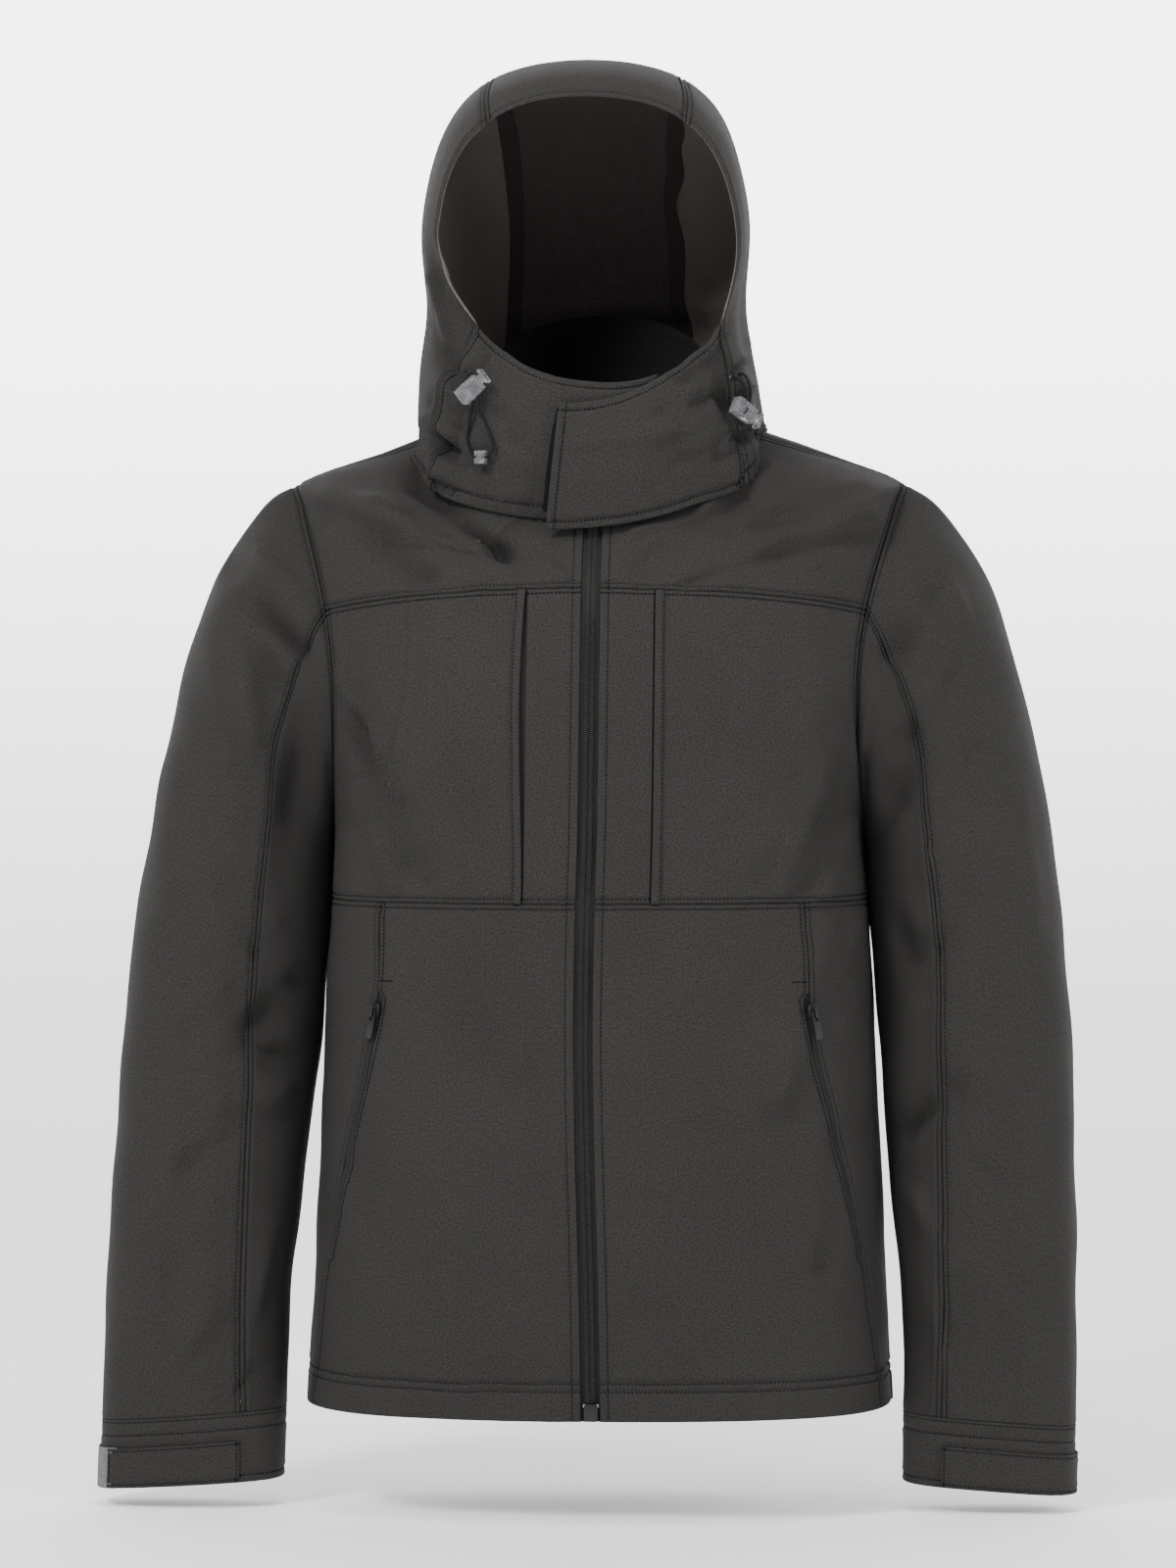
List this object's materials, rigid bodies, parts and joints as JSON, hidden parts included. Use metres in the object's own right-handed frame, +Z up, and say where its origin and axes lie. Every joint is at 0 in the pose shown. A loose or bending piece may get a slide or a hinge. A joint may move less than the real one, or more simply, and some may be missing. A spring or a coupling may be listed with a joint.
{
  "type": "softshell jacket",
  "caption": "Men's hooded softshell jacket, zip closed and hood up, hollow as worn, with chest and side zip pockets, a chin flap, hood adjusters and cuff tabs.",
  "frame": {"origin": "between the shoulders at the base of the neck, where the wearer's shoulders hold the jacket", "axes": "+Z up, -Y the front, +X to the wearer's left"},
  "size_m": [0.6967, 0.2677, 1.0158],
  "materials": {
    "softshell": "dark charcoal bonded softshell, fine weave, dull",
    "zip_tape": "black woven tape and nylon coil",
    "black_hardware": "black, slightly glossy",
    "clear_plastic": "clear, slightly milky",
    "elastic_cord": "black elastic cord",
    "grey_loop_patch": "light grey loop pile",
    "dark_loop_patch": "dark loop pile"
  },
  "bodies": {
    "jacket": {"back": "softshell", "back_yoke": "softshell", "chest_left": "softshell", "chest_pocket_welt_left": "softshell", "chest_pocket_welt_right": "softshell", "chest_right": "softshell", "chin_loop_patch": "dark_loop_patch", "collar": "softshell", "cord_bead_right": "clear_plastic", "cord_button_left": "clear_plastic", "cord_button_right": "clear_plastic", "cord_eyelet_left_1": "black_hardware", "cord_eyelet_left_2": "black_hardware", "cord_eyelet_right": "black_hardware", "cord_lock_left": "clear_plastic", "cord_lock_right": "clear_plastic", "cord_loop_left": "elastic_cord", "cord_loop_right": "elastic_cord", "cuff_left": "softshell", "cuff_loop_patch": "grey_loop_patch", "cuff_right": "softshell", "cuff_tab_left": "softshell", "cuff_tab_right": "softshell", "front_left": "softshell", "front_right": "softshell", "hood_centre": "softshell", "hood_chin_flap": "softshell", "hood_chin_right": "softshell", "hood_side_left": "softshell", "hood_side_right": "softshell", "pocket_coil_left": "zip_tape", "pocket_coil_right": "zip_tape", "pocket_left_slider": "black_hardware", "pocket_right_slider": "black_hardware", "pocket_zip_tape_left": "zip_tape", "pocket_zip_tape_right": "zip_tape", "side_left": "softshell", "side_right": "softshell", "sleeve_under_left": "softshell", "sleeve_under_right": "softshell", "sleeve_upper_left": "softshell", "sleeve_upper_right": "softshell", "yoke_front_left": "softshell", "yoke_front_right": "softshell", "zip_bottom_box": "black_hardware", "zip_chain": "zip_tape", "zip_slider": "black_hardware", "zip_tape_left": "zip_tape", "zip_tape_right": "zip_tape"},
    "pocket_pull_left": {"pocket_left_pull": "black_hardware"},
    "pocket_pull_right": {"pocket_right_pull": "black_hardware"},
    "zip_pull_tab": {"zip_pull": "black_hardware"}
  },
  "joints": [
    {"name": "pocket_left_pull_swing", "type": "hinge", "parent": "jacket", "child": "pocket_pull_left", "pos_m": [0.15398, -0.10368, -0.40923], "axis": [-0.7923, -0.5707, -0.2158], "range_deg": [0, 160]},
    {"name": "pocket_right_pull_swing", "type": "hinge", "parent": "jacket", "child": "pocket_pull_right", "pos_m": [-0.15278, -0.10205, -0.4091], "axis": [-0.8048, 0.5539, 0.2131], "range_deg": [0, 160]},
    {"name": "zip_pull_swing", "type": "hinge", "parent": "jacket", "child": "zip_pull_tab", "pos_m": [0, -0.09063, -0.0145], "axis": [-1, 0, 0], "range_deg": [0, 20]}
  ]
}
